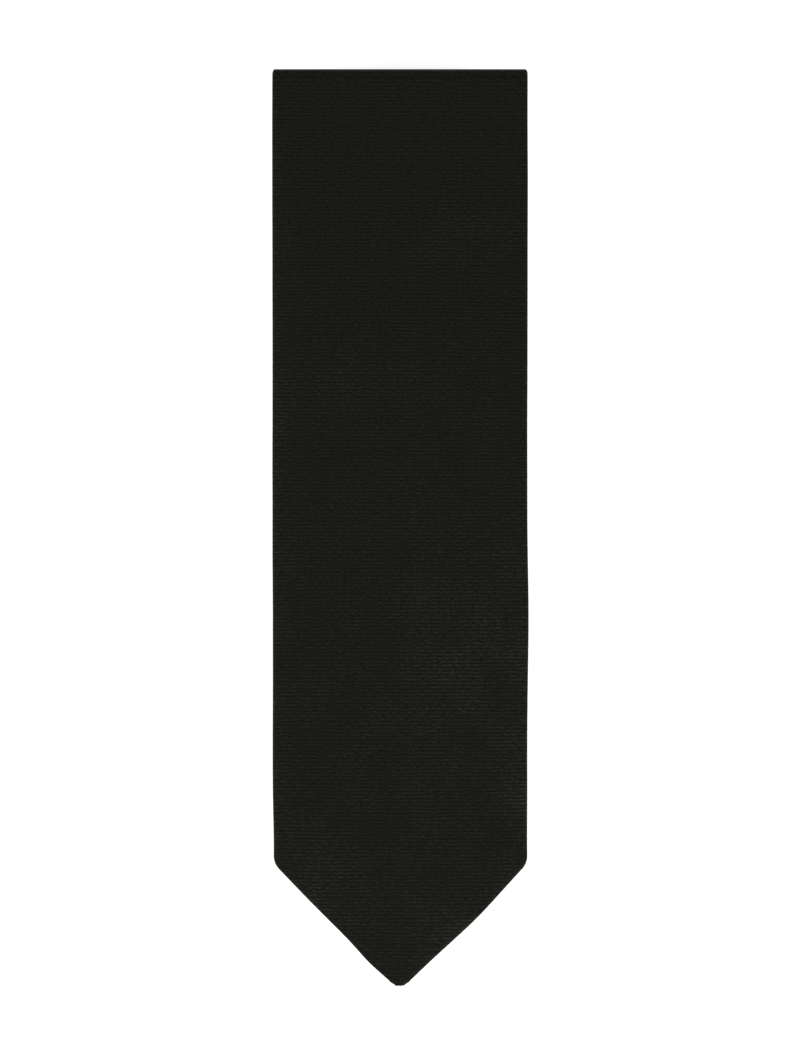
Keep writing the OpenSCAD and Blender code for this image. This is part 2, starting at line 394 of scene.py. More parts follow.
def thickness_at(s):
    """The cloth closes to a thin edge at the points."""
    reach = 1.6 * MM
    nearest = max(min(s, TIE_LEN - s) - POINT_CUT, 0.0)
    return THICK * math.sqrt(1 - max(1 - nearest / reach, 0.0) ** 2)


def slant_at(s):
    """How much wider a roll is across the tie where the edge slants."""
    return math.sqrt(2) if min(s / (BLADE_W / 2), (TIE_LEN - s) / (TAIL_W / 2)) < 1 else 1.0


def half_section(s):
    """The right half of the shell's section at s, from the middle of the face to the slit."""
    half = half_width(s)
    slant = slant_at(s)
    lift = thickness_at(s) / 2
    face_roll = min(mix(FOLD_ROLL, FACE_ROLL, away_from_folds(s, FADE)) * slant, 0.8 * half)
    back_roll = min(BACK_ROLL * slant, 0.5 * half)
    spots = []
    for k in range(FACE_COLUMNS):
        x = (half - face_roll) * k / FACE_COLUMNS
        spots.append(Spot(x, lift, x, False))
    roll_start = half - face_roll
    for k in range(ROLL_COLUMNS + 1):
        turn = math.pi * k / ROLL_COLUMNS
        reach = face_roll if turn < math.pi / 2 else back_roll
        x = half - reach + reach * math.sin(turn)
        unwrapped = roll_start + face_roll * k / ROLL_COLUMNS * ROLL_CLOTH
        spots.append(Spot(x, lift * math.cos(turn), unwrapped, turn > BACK_FROM_TURN))
    lip = min(LIP_R, 0.45 * lift)
    inner = min(window_half(s) + lip - LIPS_PRESS, 0.9 * (half - back_roll))
    back_start = half - back_roll
    for k in range(1, BACK_COLUMNS + 1):
        x = mix(back_start, inner, k / BACK_COLUMNS)
        spots.append(Spot(x, -lift, 2 * half - x, True))
    for k in range(1, LIP_COLUMNS + 1):
        turn = math.pi * k / LIP_COLUMNS
        x = inner - lip * math.sin(turn)
        depth = -lift + lip * (1 - math.cos(turn))
        spots.append(Spot(x, depth, 2 * half - inner + lip * turn, True))
    reach = max(min(TURNED_IN, back_start - inner), 0.1 * MM)
    for k in range(1, TURNED_COLUMNS + 1):
        x = inner + reach * k / TURNED_COLUMNS
        spots.append(Spot(x, -lift + 2 * lip, 2 * half - inner + lip * math.pi + x, True))
    return spots


def full_section(s):
    right = half_section(s)
    left = [Spot(-spot.x, spot.depth, -spot.unwrapped, spot.on_back) for spot in right[1:]]
    return left[::-1] + right


def stations(start, end, step):
    """Places along the tie for the rows of a mesh, closer where the outline turns."""
    knots = [
        HEM_W * math.sqrt(2), BLADE_W / 2 + HEM_W * (math.sqrt(2) - 1), FLAPS_MEET,
        TIE_LEN - TAIL_HEM_W * math.sqrt(2), TIE_LEN - TAIL_FLAPS_MEET,
        TIE_LEN - TAIL_W / 2 - TAIL_HEM_W * (math.sqrt(2) - 1),
    ]
    found = [start]
    while found[-1] < end - 0.02 * MM:
        s = found[-1]
        from_point = min(s, TIE_LEN - s)
        shoulder = min(abs(s - BLADE_W / 2), abs(TIE_LEN - s - TAIL_W / 2))
        if from_point < 4 * MM:
            stride = 0.3 * MM
        elif shoulder < 5 * MM:
            stride = 0.6 * MM
        elif from_point < 80 * MM:
            stride = 1.5 * MM
        elif in_fold(s) or in_fold(s + 0.1 * MM):
            stride = 0.5 * MM
        else:
            stride = step
        ahead = [knot for knot in knots + LAP_TO + LAP_FROM + [end] if knot > s + 0.01 * MM]
        found.append(min([s + stride] + ahead))
    return found


SEAM_SLANT_FROM = 95 * MM   # rows lean towards a bias seam from this far
SEAM_DIP = 0.35 * MM
SEAM_DIP_FROM = 1.2 * MM


def seam_lean(s):
    """How much a row of the mesh leans, so that the rows at a bias seam run along it."""
    nearest = min(abs(s - FRONT_SEAM), abs(s - TAIL_SEAM))
    return 1 - smooth(0, SEAM_SLANT_FROM, nearest)


def seam_dip(s):
    nearest = min(abs(s - FRONT_SEAM), abs(s - TAIL_SEAM))
    return SEAM_DIP * (1 - smooth(0, SEAM_DIP_FROM, nearest))


def shell_piece(name, start, end, side=0):
    """The sleeve of shell cloth from start to end, or only its face side (1) or back side (-1)."""
    rows = stations(start, end, SHELL_STEP)
    vertices, spots = [], []
    for s in rows:
        lean, dip = seam_lean(s), seam_dip(s)
        section = full_section(s)
        for column, spot in enumerate(section):
            at = s + lean * spot.unwrapped
            if lean:
                spot = full_section(at)[column]
            inwards = 1 if spot.depth > 0 else -1
            vertices.append(lay(spot.x, spot.depth - inwards * dip, at))
            spots.append((spot, at))
    columns = len(full_section(rows[0]))
    faces = grid_faces(len(rows), columns)
    if side:
        faces = [face for face in faces if side * sum(spots[index][0].depth for index in face) > 0]
        kept = sorted({index for face in faces for index in face})
        vertices = [vertices[index] for index in kept]
        spots = [spots[index] for index in kept]
        place_of = {index: place for place, index in enumerate(kept)}
        faces = [tuple(place_of[index] for index in face) for face in faces]
    cloth = [corner for face in faces for corner in weave_corners(face, spots)]
    obj = new_mesh(name, vertices, faces, cloth)
    thicken(obj, SHELL_T)
    return obj


# Patches where the ribs' bump is stronger and a highlight is painted lighter on their crests
ReliefHighlightPatch = namedtuple("ReliefHighlightPatch", "x s reach_x reach_s amount")
RELIEF_AND_HIGHLIGHT_PATCHES = [
    ReliefHighlightPatch(26 * MM, 116 * MM, 16 * MM, 24 * MM, 0.26),     # across the right of the lower blade
    ReliefHighlightPatch(14 * MM, 94 * MM, 16 * MM, 14 * MM, 0.24),
    ReliefHighlightPatch(39 * MM, 64 * MM, 6 * MM, 26 * MM, 0.45),       # down the right edge
    ReliefHighlightPatch(14 * MM, 17 * MM, 10 * MM, 10 * MM, 0.4),       # along the point's right side
    ReliefHighlightPatch(-24 * MM, 32 * MM, 14 * MM, 14 * MM, 0.28),     # the left shoulder
    ReliefHighlightPatch(-39 * MM, 130 * MM, 4 * MM, 90 * MM, 0.2),
    ReliefHighlightPatch(-16 * MM, 190 * MM, 26 * MM, 8 * MM, 0.16),
    ReliefHighlightPatch(24 * MM, 236 * MM, 24 * MM, 10 * MM, 0.16),
    ReliefHighlightPatch(0 * MM, 70 * MM, 70 * MM, 110 * MM, 0.14),
]


def relief_and_highlight_at(x, s):
    """How far the ribs stand up in the bump, and how strongly a highlight is painted on their
    crests: both are stronger in the patches listed above.
    """
    raised = sum(
        full.amount * bell(x, full.x, full.reach_x) * bell(s, full.s, full.reach_s)
        for full in RELIEF_AND_HIGHLIGHT_PATCHES
    )
    coarse = noise.noise(Vector((x * 90, s * 70, 12.0)))
    fine = noise.noise(Vector((x * 220, s * 260, 3.0)))
    uneven = coarse + 0.7 * fine
    return min(max(raised * (1 + uneven) + 0.06 * uneven, 0.0), 1.0)


def weave_corners(face, spots):
    """The face's corners on the flat cloth. Over a slanting hem the cloth's ribs turn square."""
    placed = [spots[index] for index in face]
    x = sum(abs(spot.x) for spot, s in placed) / len(placed)
    s = sum(s for spot, s in placed) / len(placed)
    on_back = all(spot.on_back for spot, s in placed)
    distance, half = (s, BLADE_W / 2) if s < TIE_LEN / 2 else (TIE_LEN - s, TAIL_W / 2)
    on_hem = on_back and distance < half + (half - x) * (math.sqrt(2) - 1)
    if not on_hem:
        # the third value sets the ribs' bump and their painted highlight
        return [(spot.unwrapped, s, relief_and_highlight_at(spot.x, s)) for spot, s in placed]
    return [(s, abs(spot.x), 0.0) for spot, s in placed]


# ---------------------------------------------------------------------------------------------
# Interlining and lining
# ---------------------------------------------------------------------------------------------
WOOL_COLUMNS = 10
WOOL_STEP = 7 * MM
WOOL_FACE = THICK / 2 - SHELL_T - 0.1 * MM
WOOL_SHARE = 0.94           # the wool's thickness here, of its flat thickness
WOOL_BULGE = 0.3 * MM       # how far its edges stand out, at half its thickness


def wool_section(s):
    """A closed section of the wool, round from the right edge."""
    half = max(half_width(s) - WOOL_INSET * slant_at(s), 0.25 * MM)
    thick = min(WOOL_T * WOOL_SHARE, thickness_at(s) * 0.4)
    top, low = WOOL_FACE, WOOL_FACE - thick
    over = [(mix(half, -half, k / WOOL_COLUMNS), top) for k in range(WOOL_COLUMNS + 1)]
    under = [(mix(-half, half, k / WOOL_COLUMNS), low) for k in range(WOOL_COLUMNS + 1)]
    edge = half + WOOL_BULGE
    return over + [(-edge, (top + low) / 2)] + under + [(edge, (top + low) / 2)]


def wool_piece(name, start, end):
    margin = POINT_CUT + WOOL_INSET * math.sqrt(2)
    rows = stations(max(start, margin), min(end, TIE_LEN - margin), WOOL_STEP)
    vertices, places = [], []
    for s in rows:
        for x, depth in wool_section(s):
            vertices.append(lay(x, depth, s))
            places.append((x, s, 0.0))
    columns = len(wool_section(rows[0]))
    faces = grid_faces(len(rows), columns, closed=True)
    faces.append(tuple(range(columns - 1, -1, -1)))
    faces.append(tuple(range(len(vertices) - columns, len(vertices))))
    cloth = [places[index] for face in faces for index in face]
    obj = new_mesh(name, vertices, faces, cloth)
    obj.data.set_sharp_from_angle(angle=SHARP)
    return obj


LINING_COLUMNS = 20
LINING_T = 0.2 * MM
LINING_DEPTH = -THICK / 2 + SHELL_T + 0.03 * MM
LINING_UNDER = 4 * MM       # how far the lining runs in under the flaps and the hem
LINING_PAST = 6 * MM        # how far it runs past the place where the flaps meet
LINING_INSET = 1.7 * MM     # how far it stays in from the tie's edge
LINING_FROM_POINT = 8 * MM
TAIL_LINING_FROM_POINT = 7 * MM
LINING_STEP = 2 * MM
LINING_FULL = 0.22 * MM     # how far it stands out between the flaps


def lining_piece(name, start, end):
    """The lining behind a point, a little full between the flaps."""
    rows = stations(start, end, LINING_STEP)
    vertices, places = [], []
    for s in rows:
        half = min(window_half(s) + LINING_UNDER, half_width(s) - LINING_INSET * slant_at(s))
        for column in range(LINING_COLUMNS + 1):
            x = mix(-half, half, column / LINING_COLUMNS)
            middle = 1 - smooth(0, max(window_half(s), 0.1 * MM), abs(x))
            vertices.append(lay(x, LINING_DEPTH - LINING_FULL * middle, s))
            places.append((x, s, 0.0))
    faces = grid_faces(len(rows), LINING_COLUMNS + 1)
    cloth = [places[index] for face in faces for index in face]
    obj = new_mesh(name, vertices, faces, cloth)
    thicken(obj, LINING_T, outwards=1)
    return obj


# ---------------------------------------------------------------------------------------------
# Stitches
# ---------------------------------------------------------------------------------------------
THREAD_R = 0.16 * MM
STITCH_PITCH = 9 * MM
STITCH_REACH = 0.75 * MM
STITCH_FROM_MEET = 8 * MM   # from where the flaps meet to the first stitch
STITCH_FROM_FOLD = 5 * MM
TACK_FROM_MEET = 4 * MM
ALONG_STITCH = (-1, -0.6, 0, 0.6, 1)    # a stitch's points, from one end to the other
SEAM_THREAD_R = 0.11 * MM
SEAM_PITCH = 2.4 * MM
BACK_DEPTH = -THICK / 2


def slip_stitches(name, lap):
    """Slanting stitches of one thread, which catch the two back flaps together."""
    start = FLAPS_MEET + STITCH_FROM_MEET if lap == 0 else LAP_FROM[lap] + STITCH_FROM_FOLD
    end = LAP_TO[lap] - STITCH_FROM_FOLD
    if lap == LAST:
        end = TIE_LEN - TAIL_FLAPS_MEET - STITCH_FROM_MEET
    count = int((end - start) / STITCH_PITCH)
    paths = []
    for k in range(count + 1):
        s = start + k * (end - start) / count
        s += 0.8 * MM * noise.noise(Vector((s * 300, 1.7, 4.2)))
        path = []
        for t in ALONG_STITCH:
            depth = BACK_DEPTH - 0.1 * MM * (1 - t * t) + 0.12 * MM * t * t
            path.append(lay(t * STITCH_REACH, depth, s + t * 0.9 * MM))
        paths.append(path)
    return threads(name, paths, THREAD_R)


def bar_tack(name, s):
    """A dense bar of satin stitches over the slit, with a core thread along it."""
    low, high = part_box(name)
    width, length = high.x - low.x, high.y - low.y
    count = int(width / (1.5 * THREAD_R))
    paths = []
    for k in range(count + 1):
        x = mix(-width / 2, width / 2, k / count)
        uneven = 0.14 * MM * noise.noise(Vector((k * 1.7, 3.3, 0.5)))
        paths.append([
            lay(x, BACK_DEPTH - 0.34 * MM * (1 - t ** 4) + 0.1 * MM, s + t * length / 2 + uneven)
            for t in (-1, -0.8, -0.4, 0.4, 0.8, 1)
        ])
    return threads(name, paths, THREAD_R)


def bias_seam(name, s):
    """The sewing thread that shows in the valley of a bias seam, right round the sleeve."""
    columns = len(full_section(s))
    paths, run = [], []
    hidden = LIP_COLUMNS + TURNED_COLUMNS
    for column in range(hidden, columns - hidden):
        at = s + full_section(s)[column].unwrapped
        spot = full_section(at)[column]
        inwards = 1 if spot.depth > 0 else -1
        run.append(lay(spot.x, spot.depth - inwards * (SEAM_DIP + 0.05 * MM), at))
    for a, b in zip(run, run[1:]):
        pieces = max(1, round((b - a).length / SEAM_PITCH))
        for k in range(pieces):
            first, final = a.lerp(b, (k + 0.12) / pieces), a.lerp(b, (k + 0.88) / pieces)
            paths.append([first, first.lerp(final, 0.3), first.lerp(final, 0.7), final])
    return threads(name, paths, SEAM_THREAD_R)


# ---------------------------------------------------------------------------------------------
# Keeper loop and labels, on the back of the front blade
# ---------------------------------------------------------------------------------------------
def strip(name, route, low_y, high_y, thickness, columns=8, curl=0.12 * MM):
    """A narrow band of cloth along a route of (x, z) points, its long edges turned in a little."""
    vertices, places, along = [], [], 0.0
    for k, (x, z) in enumerate(route):
        if k:
            along += math.hypot(x - route[k - 1][0], z - route[k - 1][1])
        for column in range(columns + 1):
            t = 2 * column / columns - 1
            lift = curl * abs(t) ** 4
            uneven = 0.06 * MM * noise.noise(Vector((x * 160, t * 1.5, 6.0)))
            y = mix(low_y, high_y, (t + 1) / 2)
            vertices.append(under_blade(x, y, z + lift + uneven))
            places.append((along, y, 0.0))
    faces = grid_faces(len(route), columns + 1)
    cloth = [places[index] for face in faces for index in face]
    obj = new_mesh(name, vertices, faces, cloth)
    solid = obj.modifiers.new("cloth", "SOLIDIFY")
    solid.thickness = thickness
    solid.offset = 0
    round_off = obj.modifiers.new("soft", "SUBSURF")
    round_off.levels = round_off.render_levels = 1
    apply_modifiers(obj)
    return obj


def keeper_loop():
    """The band stands off the back in a shallow bow, and its feet are sewn down flat."""
    low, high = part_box("keeper_loop")
    thickness = 0.5 * MM
    foot, leg = 3.6 * MM, 2.2 * MM
    top = high.z - thickness / 2
    bottom = low.z + thickness / 2
    half = (high.x - low.x) / 2
    route = []
    for side in (-1, 1):
        ends = []
        for k in range(5):
            ends.append((side * (half - foot * k / 4), top))
        for k in range(1, 7):
            t = k / 6
            ends.append((side * (half - foot - leg * t), mix(top, bottom, smooth(0, 1, t))))
        route.append(ends)
    reach = half - foot - leg
    steps = 24
    bow = []
    for k in range(1, steps):
        rise = 0.25 * MM * (1 - (2 * k / steps - 1) ** 2)
        bow.append((mix(-reach, reach, k / steps), bottom + rise - 0.05 * MM))
    return strip("keeper_loop", route[0] + bow + route[1][::-1], low.y, high.y, thickness)


def keeper_tacks():
    """Rows of short stitches that hold the keeper loop's two feet."""
    low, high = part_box("keeper_loop")
    tack_low, tack_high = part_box("keeper_tacks")
    paths = []
    for side in (-1, 1):
        x = side * ((high.x - low.x) / 2 - 1.7 * MM)
        count = 11
        for k in range(count):
            y = mix(tack_low.y + 0.5 * MM, tack_high.y - 0.5 * MM, k / (count - 1))
            z = high.z - 0.55 * MM
            path = []
            for t in ALONG_STITCH:
                rise = z - 0.16 * MM * (1 - t * t) + 0.2 * MM * t * t
                path.append(under_blade(x + t * 1.1 * MM, y + 0.15 * MM * t, rise))
            paths.append(path)
    return threads("keeper_tacks", paths, THREAD_R)


LABEL_COLUMNS = 22
LABEL_ROWS = 12


def label(name, thickness, curl, fold_end):
    """A blank woven label in its CAD place, corners a little curled, one end folded if fold_end."""
    low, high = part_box(name)
    vertices, places = [], []
    back = high.z - thickness / 2
    fold_r = 0.3 * MM
    off_blade = 0.3 * MM
    ends = [(-fold_r * 0.2, 2 * fold_r), (-fold_r, fold_r)] if fold_end else []
    lines = ends + [(t * (high.y - low.y) / LABEL_ROWS, 0.0) for t in range(LABEL_ROWS + 1)]
    for inset_y, raised in lines:
        for column in range(LABEL_COLUMNS + 1):
            t = 2 * column / LABEL_COLUMNS - 1
            u = 2 * min(max(inset_y / (high.y - low.y), 0), 1) - 1
            x = mix(low.x, high.x, (t + 1) / 2)
            lift = curl * abs(t) ** 5 * abs(u) ** 3
            ripple = 0.05 * MM * noise.noise(Vector((t * 2.2, u * 1.3, 9.0)))
            y = low.y + inset_y + (fold_r if fold_end else 0)
            vertices.append(under_blade(x, y, back + raised - off_blade - lift + ripple))
            places.append((x, low.y + inset_y, 0.0))
    faces = grid_faces(len(lines), LABEL_COLUMNS + 1)
    cloth = [places[index] for face in faces for index in face]
    obj = new_mesh(name, vertices, faces, cloth)
    thicken(obj, thickness, outwards=0)
    return obj


# ---------------------------------------------------------------------------------------------
# Materials
# ---------------------------------------------------------------------------------------------
RIB = 1.143 * MM            # from one rib of the shell cloth to the next
YARN = 0.19 * MM            # from one fine yarn over the ribs to the next
DASH = 1.3 * MM             # about how long a rib looks evenly lit
FUZZ = 0.45 * MM            # size of the cloth's finest speckle


class Shader:
    """A short way to write node trees: every call adds one node and returns its output."""

    def __init__(self, name):
        self.material = bpy.data.materials.new(name)
        self.material.use_nodes = True
        self.nodes = self.material.node_tree.nodes
        self.links = self.material.node_tree.links
        self.bsdf = self.nodes["Principled BSDF"]

    def put(self, value, socket):
        if isinstance(value, bpy.types.NodeSocket):
            self.links.new(value, socket)
        else:
            socket.default_value = value

    def math(self, operation, a, b=0.0, clamp=False):
        node = self.nodes.new("ShaderNodeMath")
        node.operation = operation
        node.use_clamp = clamp
        self.put(a, node.inputs[0])
        self.put(b, node.inputs[1])
        return node.outputs[0]

    def cloth(self):
        """Across and along, on the flat cloth, in metres, and from 0 to 1 how far the ribs stand
        up, which also sets how bright their painted highlight is.
        """
        attribute = self.nodes.new("ShaderNodeAttribute")
        attribute.attribute_name = "cloth"
        parts = self.nodes.new("ShaderNodeSeparateXYZ")
        self.links.new(attribute.outputs["Vector"], parts.inputs[0])
        flat = self.nodes.new("ShaderNodeCombineXYZ")
        self.links.new(parts.outputs["X"], flat.inputs["X"])
        self.links.new(parts.outputs["Y"], flat.inputs["Y"])
        return flat.outputs[0], parts.outputs["X"], parts.outputs["Y"], parts.outputs["Z"]

    def noise(self, vector, scale, detail=2.0, roughness=0.5, stretch=(1, 1, 1)):
        scaled = self.nodes.new("ShaderNodeMapping")
        scaled.inputs["Scale"].default_value = stretch
        self.put(vector, scaled.inputs["Vector"])
        node = self.nodes.new("ShaderNodeTexNoise")
        node.inputs["Scale"].default_value = scale
        node.inputs["Detail"].default_value = detail
        node.inputs["Roughness"].default_value = roughness
        self.links.new(scaled.outputs[0], node.inputs["Vector"])
        return node.outputs["Fac"]

    def ramp(self, value, *stops):
        """stops are (place, colour) pairs."""
        node = self.nodes.new("ShaderNodeValToRGB")
        elements = node.color_ramp.elements
        while len(elements) < len(stops):
            elements.new(0.5)
        for element, (place, colour) in zip(elements, stops):
            element.position = place
            element.color = (*colour, 1)
        self.put(value, node.inputs["Fac"])
        return node.outputs["Color"]

    def span(self, value, low, high, to_low, to_high):
        node = self.nodes.new("ShaderNodeMapRange")
        for socket, number in zip(list(node.inputs)[1:5], (low, high, to_low, to_high)):
            socket.default_value = number
        self.put(value, node.inputs["Value"])
        return node.outputs[0]

    def object_place(self):
        return self.nodes.new("ShaderNodeTexCoord").outputs["Object"]

    def bump(self, height, distance, strength=1.0):
        node = self.nodes.new("ShaderNodeBump")
        node.inputs["Strength"].default_value = strength
        node.inputs["Distance"].default_value = distance
        self.put(height, node.inputs["Height"])
        self.links.new(node.outputs[0], self.bsdf.inputs["Normal"])

    def wave(self, place, pitch):
        """A rounded ridge from 0 to 1 every pitch."""
        turn = self.math("MULTIPLY", place, math.pi / pitch)
        return self.math("ABSOLUTE", self.math("SINE", turn))


def ribbed_cloth():
    """Black ribbed cloth: thick ribs straight across, and fine yarns over them along the tie. The
    base colour paints a highlight on the ribs' crests, broken into dashes and strongest where the
    ribs stand up most.
    """
    m = Shader("shell_cloth")
    place, across, along, relief_and_highlight = m.cloth()
    drift = m.noise(place, 26, detail=3.0)
    wavy = m.math("MULTIPLY", m.math("SUBTRACT", drift, 0.5), 0.7 * MM)
    slub = m.noise(place, 1 / DASH, detail=1.0)
    shaky = m.math("MULTIPLY", m.math("SUBTRACT", slub, 0.5), 0.8 * MM)
    rib = m.wave(m.math("ADD", m.math("ADD", along, wavy), shaky), RIB)
    yarn_shift = m.math("MULTIPLY", m.noise(place, 420, detail=1.0), 0.25 * MM)
    yarn = m.wave(m.math("ADD", across, yarn_shift), YARN)
    dashes = m.span(m.noise(place, 1 / DASH, detail=1.5, stretch=(1, 2.6, 1)), 0.36, 0.64, 0.0, 1.0)
    crest = m.math("POWER", rib, 1.4)
    # how far the ribs stand up also scales the highlight painted on their crests
    raised = m.span(relief_and_highlight, 0.0, 1.0, 0.25, 1.0)
    lit = m.math("MULTIPLY", m.math("MULTIPLY", crest, m.span(dashes, 0.0, 1.0, 0.12, 1.0)), raised)
    fuzz = m.noise(place, 1 / FUZZ, detail=2.0)
    lit = m.math("ADD", lit, m.span(fuzz, 0.25, 0.75, -0.14, 0.4), clamp=True)
    # painted highlight: the ramp makes the lit rib crests lighter in the base colour, and the fuzz
    # adds random speckle
    colour = m.ramp(lit, (0.0, (0.0034, 0.0043, 0.0020)), (0.3, (0.0094, 0.0104, 0.0068)),
                    (1.0, (0.0300, 0.0310, 0.0242)))
    m.put(colour, m.bsdf.inputs["Base Color"])
    m.put(m.span(lit, 0.0, 1.0, 0.75, 0.55), m.bsdf.inputs["Roughness"])
    m.bsdf.inputs["Specular IOR Level"].default_value = 0.045
    m.bsdf.inputs["Sheen Weight"].default_value = 0.08
    m.bsdf.inputs["Sheen Roughness"].default_value = 0.35
    height = m.math("ADD", m.math("MULTIPLY", rib, 0.7), m.math("MULTIPLY", yarn, 0.14))
    height = m.math("ADD", height, m.math("MULTIPLY", dashes, 0.25))
    height = m.math("ADD", height, m.math("MULTIPLY", fuzz, 0.2))
    m.bump(m.math("MULTIPLY", height, m.span(relief_and_highlight, 0.0, 1.0, 0.5, 1.0)), 0.2 * MM)
    return m.material


def wool_felt():
    """Undyed brushed wool, its nap in every direction, with a faint open weave under it."""
    m = Shader("interlining_wool")
    place, across, along, _ = m.cloth()
    nap = m.noise(place, 1900, detail=4.0, roughness=0.7)
    clouds = m.noise(place, 70, detail=3.0)
    grid = m.math("MULTIPLY", m.wave(across, 0.9 * MM), m.wave(along, 0.9 * MM))
    tone = m.math("ADD", m.math("MULTIPLY", nap, 0.6), m.math("MULTIPLY", clouds, 0.4))
    colour = m.ramp(tone, (0.3, (0.42, 0.37, 0.28)), (0.7, (0.68, 0.62, 0.5)))
    m.put(colour, m.bsdf.inputs["Base Color"])
    m.bsdf.inputs["Roughness"].default_value = 0.95
    m.bsdf.inputs["Sheen Weight"].default_value = 0.25
    height = m.math("ADD", m.math("MULTIPLY", nap, 0.8), m.math("MULTIPLY", grid, 0.4))
    m.bump(height, 0.25 * MM)
    return m.material


def satin(name, dark, bright, thread, roughness):
    """A smooth satin weave: long floats across, stepped from row to row."""
    m = Shader(name)
    place, across, along, _ = m.cloth()
    floats = m.wave(m.math("ADD", along, m.math("MULTIPLY", across, 0.2)), thread)
    streaks = m.noise(place, 500, detail=3.0, stretch=(0.12, 1.6, 1))
    clouds = m.noise(place, 55, detail=2.0)
    tone = m.math("ADD", m.math("MULTIPLY", streaks, 0.55), m.math("MULTIPLY", floats, 0.3))
    tone = m.math("ADD", tone, m.math("MULTIPLY", clouds, 0.15))
    m.put(m.ramp(tone, (0.3, dark), (0.75, bright)), m.bsdf.inputs["Base Color"])
    m.put(m.span(streaks, 0.3, 0.7, roughness - 0.06, roughness + 0.1), m.bsdf.inputs["Roughness"])
    m.bsdf.inputs["Anisotropic"].default_value = 0.5
    m.bsdf.inputs["Specular IOR Level"].default_value = 0.22
    m.bump(m.math("ADD", floats, streaks), 0.05 * MM, 0.6)
    return m.material


def twisted_thread():
    """Black polyester thread, two plies twisted together."""
    m = Shader("thread")
    place = m.object_place()
    ply = m.noise(place, 3000, detail=2.0)
    worn = m.noise(place, 240, detail=2.0)
    shade = m.math("MULTIPLY", ply, worn)
    colour = m.ramp(shade, (0.1, (0.008, 0.008, 0.008)), (0.5, (0.035, 0.034, 0.031)))
    m.put(colour, m.bsdf.inputs["Base Color"])
    m.put(m.span(worn, 0.3, 0.7, 0.38, 0.55), m.bsdf.inputs["Roughness"])
    m.bump(ply, 0.08 * MM, 0.8)
    return m.material


SHELL = ribbed_cloth()
WOOL = wool_felt()
LINING = satin("lining_satin", (0.006, 0.006, 0.0065), (0.016, 0.016, 0.018), 0.3 * MM, 0.36)
THREAD = twisted_thread()
LABEL_BLACK = satin("label_black", (0.005, 0.005, 0.006), (0.014, 0.014, 0.015), 0.35 * MM, 0.34)
LABEL_WHITE = satin("label_white", (0.5, 0.49, 0.46), (0.78, 0.77, 0.73), 0.35 * MM, 0.42)


# ---------------------------------------------------------------------------------------------
# Putting the pieces together
# ---------------------------------------------------------------------------------------------
def finish_piece(obj, node, material, lap, suffix="_sewn"):
    obj.name = node + suffix
    obj.data.materials.clear()
    obj.data.materials.append(material)
    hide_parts(node)
    if lap is not None:
        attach(obj, "lap_%d" % (lap + 1))


def across_fold(obj):
    """Bakes the fold piece's place into its mesh."""
    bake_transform(obj)


SHELL_RUNS = [
    ("front_shell_lap1", 0, 0.0, LAP_TO[0]),
    ("front_shell_lap2", 1, LAP_FROM[1], LAP_TO[1]),
    ("front_shell_lap3", 2, LAP_FROM[2], FRONT_SEAM),
    ("neck_shell_lap3", 2, FRONT_SEAM, LAP_TO[2]),
    ("neck_shell_lap4", 3, LAP_FROM[3], LAP_TO[3]),
    ("neck_shell_lap5", 4, LAP_FROM[4], TAIL_SEAM),
    ("tail_shell_lap5", 4, TAIL_SEAM, LAP_TO[4]),
    ("tail_shell_lap6", 5, LAP_FROM[5], TIE_LEN),
]
END_CLEAR = POINT_CUT + 0.03 * MM


def build_shell():
    for node, lap, start, end in SHELL_RUNS:
        first = max(start, END_CLEAR)
        final = min(end, TIE_LEN - END_CLEAR)
        obj = shell_piece(node, first, final)
        finish_piece(obj, node, SHELL, lap)
    for fold, letter in enumerate(FOLD_NAMES):
        node = "shell_fold_" + letter
        outer = 1 if fold % 2 == 0 else -1
        for side, suffix, radius in (
            (outer, "_outside", FOLD_R[fold]),
            (-outer, "_inside", FOLD_R[fold] - THICK / 2),
        ):
            obj = shell_piece(node, LAP_TO[fold], LAP_FROM[fold + 1], side)
            finish_piece(obj, node, SHELL, None, suffix)
            across_fold(obj)


def build_interlining():
    for lap in range(LAST + 1):
        node = "interlining_lap%d" % (lap + 1)
        obj = wool_piece(node, LAP_FROM[lap], LAP_TO[lap])
        finish_piece(obj, node, WOOL, lap)
    for fold, letter in enumerate(FOLD_NAMES):
        node = "interlining_fold_" + letter
        obj = wool_piece(node, LAP_TO[fold], LAP_FROM[fold + 1])
        finish_piece(obj, node, WOOL, None)
        across_fold(obj)


def build_linings():
    front = lining_piece("front_tipping", LINING_FROM_POINT, FLAPS_MEET + LINING_PAST)
    tail_start = TIE_LEN - TAIL_FLAPS_MEET - LINING_PAST
    tail = lining_piece("tail_tipping", tail_start, TIE_LEN - TAIL_LINING_FROM_POINT)
    pieces = (("front_tipping", front, 0, 0.066, 0.07), ("tail_tipping", tail, LAST, 0.034, 0.047))
    for node, obj, lap, width, length in pieces:
        finish_piece(obj, node, LINING, lap)


def build_stitches():
    for lap in range(LAST + 1):
        node = "slip_stitch_lap%d" % (lap + 1)
        finish_piece(slip_stitches(node, lap), node, THREAD, lap)
    tacks = (
        ("front_bar_tack", 0, FLAPS_MEET + TACK_FROM_MEET),
        ("tail_bar_tack", LAST, TIE_LEN - TAIL_FLAPS_MEET - TACK_FROM_MEET),
    )
    for node, lap, s in tacks:
        finish_piece(bar_tack(node, s), node, THREAD, lap)
    for node, lap, s in (("front_neck_seam", 2, FRONT_SEAM), ("neck_tail_seam", 4, TAIL_SEAM)):
        finish_piece(bias_seam(node, s), node, THREAD, lap)


